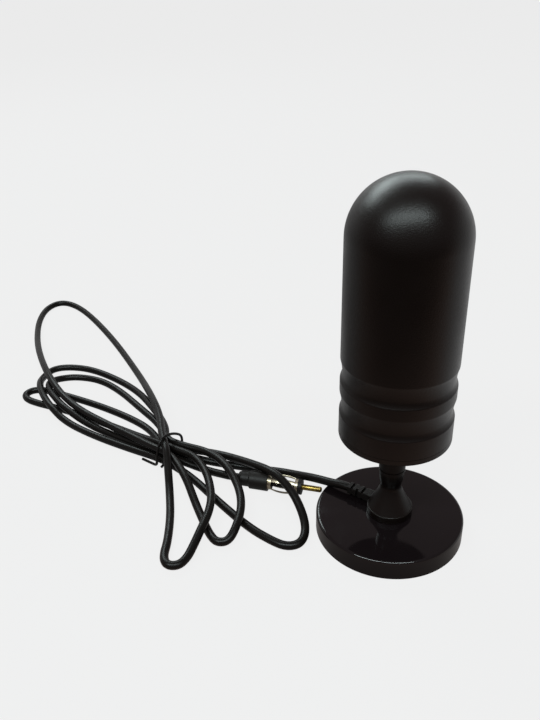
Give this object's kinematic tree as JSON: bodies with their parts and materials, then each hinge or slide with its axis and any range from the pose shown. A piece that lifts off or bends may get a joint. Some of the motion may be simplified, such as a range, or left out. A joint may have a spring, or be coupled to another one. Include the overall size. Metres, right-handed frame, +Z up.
{
  "type": "car radio antenna",
  "caption": "Capsule-shaped radio antenna on a flared stem and a round magnetic foot, with a tied coaxial lead that ends in a standard car aerial plug.",
  "frame": {"origin": "middle of the flat underside of the magnetic foot", "axes": "+Z up along the axis of the foot, stem and head; the lead leaves the stem towards -X"},
  "size_m": [0.3159, 0.2692, 0.1791],
  "materials": {
    "gloss_black": "glossy",
    "satin_black": "satin",
    "soft_pad": "matte",
    "ferrite": "matte",
    "zinc_steel": "satin",
    "board_green": "satin",
    "copper": "satin",
    "black_lead": "satin",
    "black_moulding": "satin",
    "nickel": "polished",
    "brass": "polished"
  },
  "bodies": {
    "root": {"base_cover": "gloss_black", "base_closing_plate": "satin_black", "base_closing_screws": "zinc_steel", "base_pad": "soft_pad", "ring_magnet": "ferrite", "yoke_plate": "zinc_steel", "stem": "satin_black", "stem_washer": "zinc_steel", "stem_nut": "zinc_steel", "neck_sleeve": "satin_black", "neck_washer": "zinc_steel", "neck_nut": "zinc_steel", "inner_coax": "black_lead", "head_shell": "satin_black", "head_cover": "satin_black", "antenna_board": "board_green", "radiator_trace": "copper", "matching_coil": "copper", "board_screws": "zinc_steel", "strain_relief": "black_moulding", "coax_lead": "black_lead", "wire_tie": "black_lead", "plug_grip": "black_moulding", "plug_contact_sleeve": "nickel", "plug_insulator": "black_moulding", "plug_pin": "brass"}
  },
  "joints": []
}
